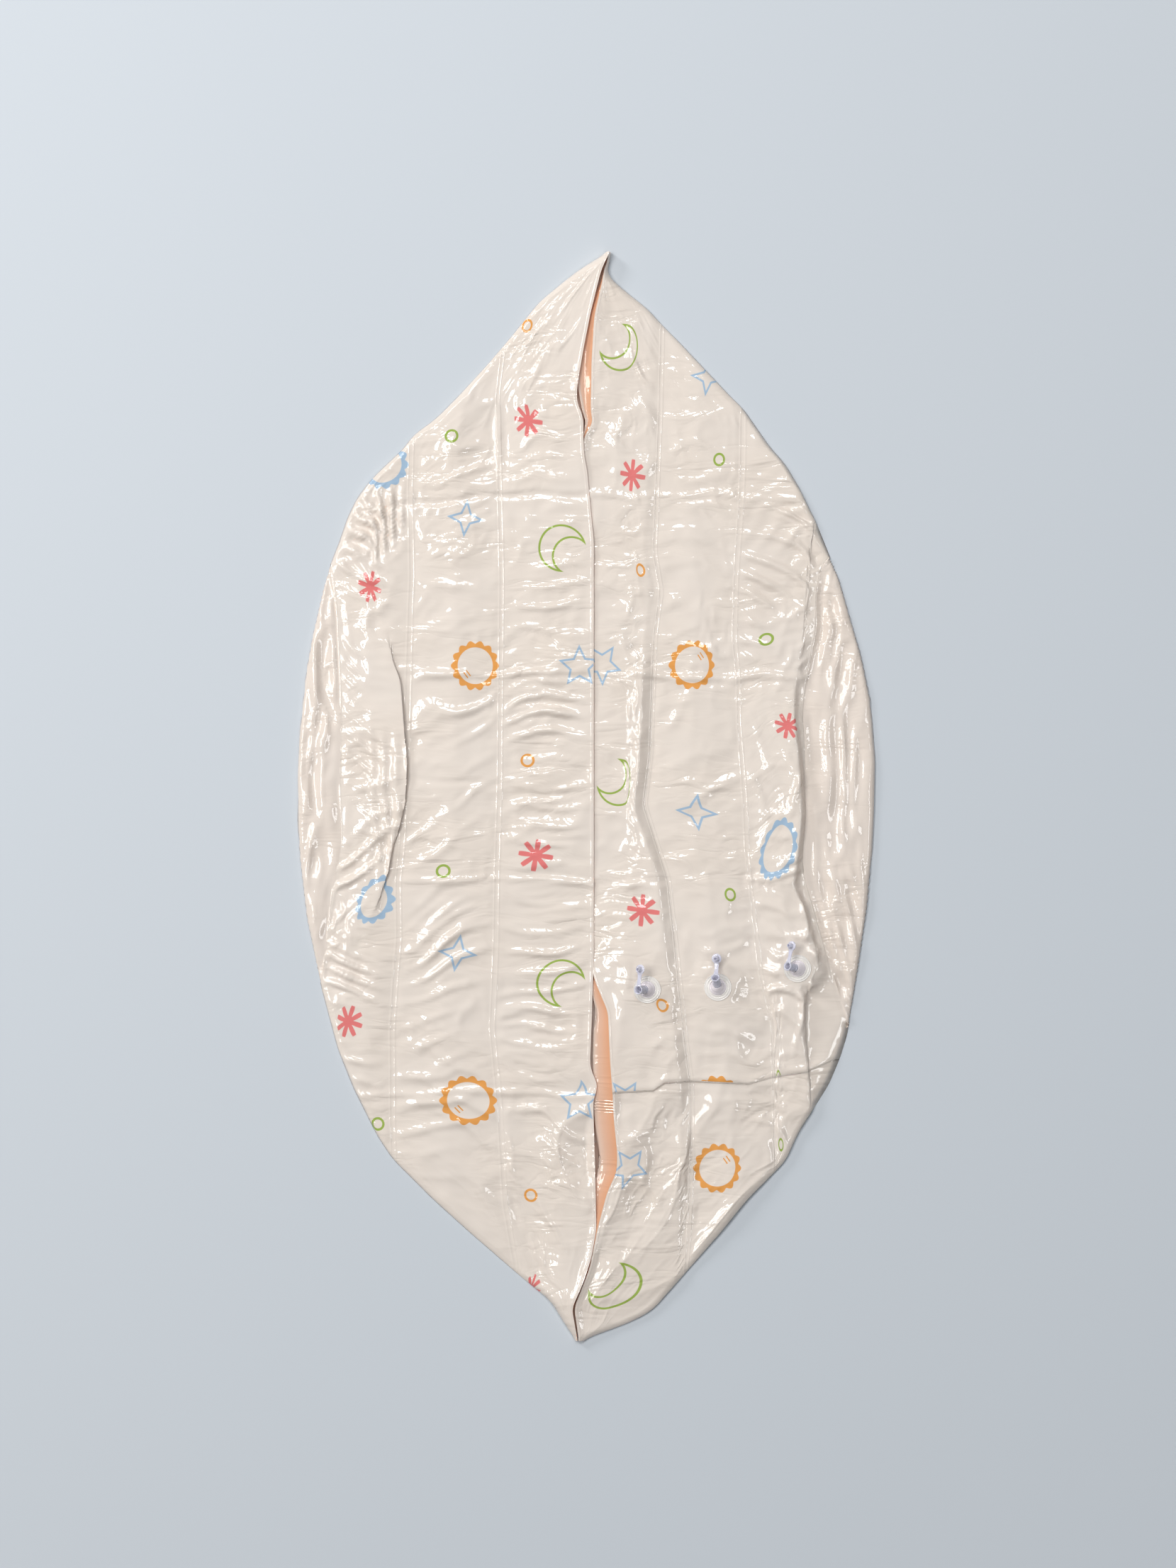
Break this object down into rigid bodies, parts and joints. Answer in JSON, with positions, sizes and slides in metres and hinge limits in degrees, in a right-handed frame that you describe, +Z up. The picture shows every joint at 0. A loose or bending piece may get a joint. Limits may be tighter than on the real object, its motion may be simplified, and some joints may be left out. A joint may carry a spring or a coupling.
{
  "type": "folded inflatable paddling pool",
  "caption": "Deflated ring-walled paddling pool of printed glossy film, folded flat, with clear inflation valves whose plugs hang open on straps.",
  "frame": {"origin": "on the ground, at the middle of the folded pool's bounding box", "axes": "+Z up off the ground, +Y along the fold slot towards the pointed end, +X towards the side with the valves"},
  "size_m": [0.738, 1.39, 0.0431],
  "materials": {
    "printed_film": "glossy soft vinyl film with printed outlines",
    "plain_film": "glossy soft vinyl film, plain",
    "clear_vinyl": "clear soft vinyl, faint lavender tint"
  },
  "bodies": {
    "pool": {"floor_sheet": "plain_film", "inner_wall_sheet": "plain_film", "outer_wall_sheet": "printed_film", "valve_flange_1": "clear_vinyl", "valve_web_1": "clear_vinyl", "valve_flange_2": "clear_vinyl", "valve_web_2": "clear_vinyl", "valve_flange_3": "clear_vinyl", "valve_web_3": "clear_vinyl"},
    "stem_1": {"valve_stem_1": "clear_vinyl", "cap_strap_1": "clear_vinyl"},
    "cap_1": {"cap_plug_1": "clear_vinyl"},
    "flap_1": {"check_flap_1": "clear_vinyl"},
    "stem_2": {"valve_stem_2": "clear_vinyl", "cap_strap_2": "clear_vinyl"},
    "cap_2": {"cap_plug_2": "clear_vinyl"},
    "flap_2": {"check_flap_2": "clear_vinyl"},
    "stem_3": {"valve_stem_3": "clear_vinyl", "cap_strap_3": "clear_vinyl"},
    "cap_3": {"cap_plug_3": "clear_vinyl"},
    "flap_3": {"check_flap_3": "clear_vinyl"}
  },
  "joints": [
    {"name": "valve_1_push_in", "type": "slide", "parent": "pool", "child": "stem_1", "axis": [0.5439, -0.0285, -0.8387], "range_m": [0, 0.007], "deforming": ["valve_web_1"]},
    {"name": "cap_1_close", "type": "hinge", "parent": "stem_1", "child": "cap_1", "pos_m": [0.06592, -0.23203, 0.03676], "axis": [0.8344, -0.0877, 0.5441], "range_deg": [0, 181.63], "stiffness_Nm_per_rad": 0.002, "deforming": ["cap_strap_1"]},
    {"name": "check_flap_1_open", "type": "hinge", "parent": "stem_1", "child": "flap_1", "pos_m": [0.0761, -0.24097, 0.0197], "axis": [0.8344, -0.0877, 0.5441], "range_deg": [0, 50], "stiffness_Nm_per_rad": 0.0004},
    {"name": "valve_2_push_in", "type": "slide", "parent": "pool", "child": "stem_2", "axis": [0.1772, -0.6179, -0.766], "range_m": [0, 0.007], "deforming": ["valve_web_2"]},
    {"name": "cap_2_close", "type": "hinge", "parent": "stem_2", "child": "cap_2", "pos_m": [0.1647, -0.21888, 0.02703], "axis": [0.9743, 0, 0.2253], "range_deg": [0, 141.84], "stiffness_Nm_per_rad": 0.002, "deforming": ["cap_strap_2"]},
    {"name": "check_flap_2_open", "type": "hinge", "parent": "stem_2", "child": "flap_2", "pos_m": [0.16709, -0.23791, 0.01669], "axis": [0.9743, 0, 0.2253], "range_deg": [0, 50], "stiffness_Nm_per_rad": 0.0004},
    {"name": "valve_3_push_in", "type": "slide", "parent": "pool", "child": "stem_3", "axis": [0.637, -0.1826, -0.749], "range_m": [0, 0.007], "deforming": ["valve_web_3"]},
    {"name": "cap_3_close", "type": "hinge", "parent": "stem_3", "child": "cap_3", "pos_m": [0.25691, -0.20221, 0.0338], "axis": [0.7394, -0.1304, 0.6606], "range_deg": [0, 176.03], "stiffness_Nm_per_rad": 0.002, "deforming": ["cap_strap_3"]},
    {"name": "check_flap_3_open", "type": "hinge", "parent": "stem_3", "child": "flap_3", "pos_m": [0.26788, -0.21407, 0.01918], "axis": [0.7394, -0.1304, 0.6606], "range_deg": [0, 50], "stiffness_Nm_per_rad": 0.0004}
  ]
}
